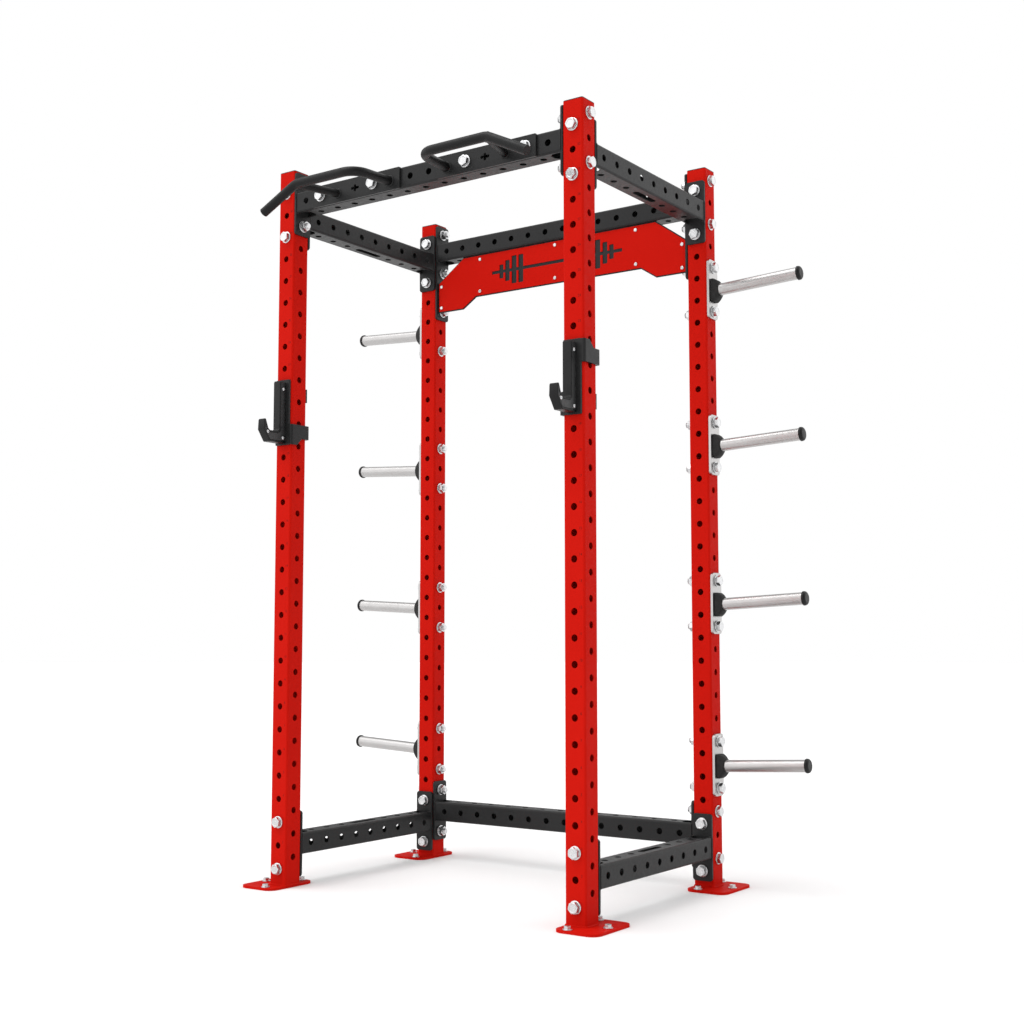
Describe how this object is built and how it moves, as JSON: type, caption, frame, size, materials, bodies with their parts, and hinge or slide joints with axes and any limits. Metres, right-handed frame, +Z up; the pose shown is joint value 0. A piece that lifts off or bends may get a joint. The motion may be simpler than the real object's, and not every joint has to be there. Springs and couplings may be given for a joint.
{
  "type": "power cage",
  "caption": "Bolted power cage: four perforated square uprights, cross-beams, angled pull-up grips, plate storage pegs and two turning J-cups with guards.",
  "frame": {"origin": "on the floor, under the middle of the whole object's bounding box", "axes": "+Z up, +X to the cage's right seen from the front, +Y from front to back"},
  "size_m": [1.8706, 1.082, 2.388],
  "materials": {
    "red_powder_coat": "satin red powder coat",
    "black_powder_coat": "fine-textured black powder coat",
    "zinc_plated_steel": "bright zinc plate",
    "bright_steel_tube": "bright plated tube",
    "black_rubber": "moulded rubber",
    "black_plastic": "moulded plastic"
  },
  "bodies": {
    "frame": {"front_left_upright": "red_powder_coat", "front_left_base_plate": "red_powder_coat", "front_right_upright": "red_powder_coat", "front_right_base_plate": "red_powder_coat", "rear_left_upright": "red_powder_coat", "rear_left_base_plate": "red_powder_coat", "rear_right_upright": "red_powder_coat", "rear_right_base_plate": "red_powder_coat", "upright_end_caps": "black_plastic", "front_top_beam": "black_powder_coat", "rear_top_beam": "black_powder_coat", "rear_bottom_beam": "black_powder_coat", "left_top_side_beam": "black_powder_coat", "right_top_side_beam": "black_powder_coat", "left_bottom_side_beam": "black_powder_coat", "right_bottom_side_beam": "black_powder_coat", "nameplate_backing": "black_powder_coat", "nameplate_face": "red_powder_coat", "nameplate_rivets": "zinc_plated_steel", "left_grip_plate": "black_powder_coat", "left_grip_handle": "black_powder_coat", "left_grip_strut": "black_powder_coat", "right_grip_plate": "black_powder_coat", "right_grip_handle": "black_powder_coat", "right_grip_strut": "black_powder_coat", "grip_end_plugs": "black_plastic", "left_storage_peg_1": "bright_steel_tube", "left_peg_collar_1": "black_rubber", "left_storage_peg_2": "bright_steel_tube", "left_peg_collar_2": "black_rubber", "left_storage_peg_3": "bright_steel_tube", "left_peg_collar_3": "black_rubber", "left_storage_peg_4": "bright_steel_tube", "left_peg_collar_4": "black_rubber", "right_storage_peg_1": "bright_steel_tube", "right_peg_collar_1": "black_rubber", "right_storage_peg_2": "bright_steel_tube", "right_peg_collar_2": "black_rubber", "right_storage_peg_3": "bright_steel_tube", "right_peg_collar_3": "black_rubber", "right_storage_peg_4": "bright_steel_tube", "right_peg_collar_4": "black_rubber", "storage_peg_end_caps": "black_plastic", "frame_bolts": "zinc_plated_steel", "frame_nuts": "zinc_plated_steel", "frame_washers": "zinc_plated_steel", "peg_bolts": "zinc_plated_steel", "peg_nuts": "zinc_plated_steel", "peg_washers": "zinc_plated_steel", "anchor_bolts": "zinc_plated_steel"},
    "left_j_cup": {"left_j_cup_bracket": "black_powder_coat", "left_j_cup_locking_pin": "zinc_plated_steel", "left_j_cup_hook": "black_powder_coat", "left_j_cup_guard": "black_plastic", "left_j_cup_screws": "zinc_plated_steel"},
    "right_j_cup": {"right_j_cup_bracket": "black_powder_coat", "right_j_cup_locking_pin": "zinc_plated_steel", "right_j_cup_hook": "black_powder_coat", "right_j_cup_guard": "black_plastic", "right_j_cup_screws": "zinc_plated_steel"}
  },
  "joints": [
    {"name": "left_j_cup_turn", "type": "hinge", "parent": "frame", "child": "left_j_cup", "pos_m": [-0.575, -0.366, 1.56], "axis": [0, -1, 0], "range_deg": [0, 90]},
    {"name": "right_j_cup_turn", "type": "hinge", "parent": "frame", "child": "right_j_cup", "pos_m": [0.575, -0.366, 1.56], "axis": [0, 1, 0], "range_deg": [0, 90]}
  ]
}
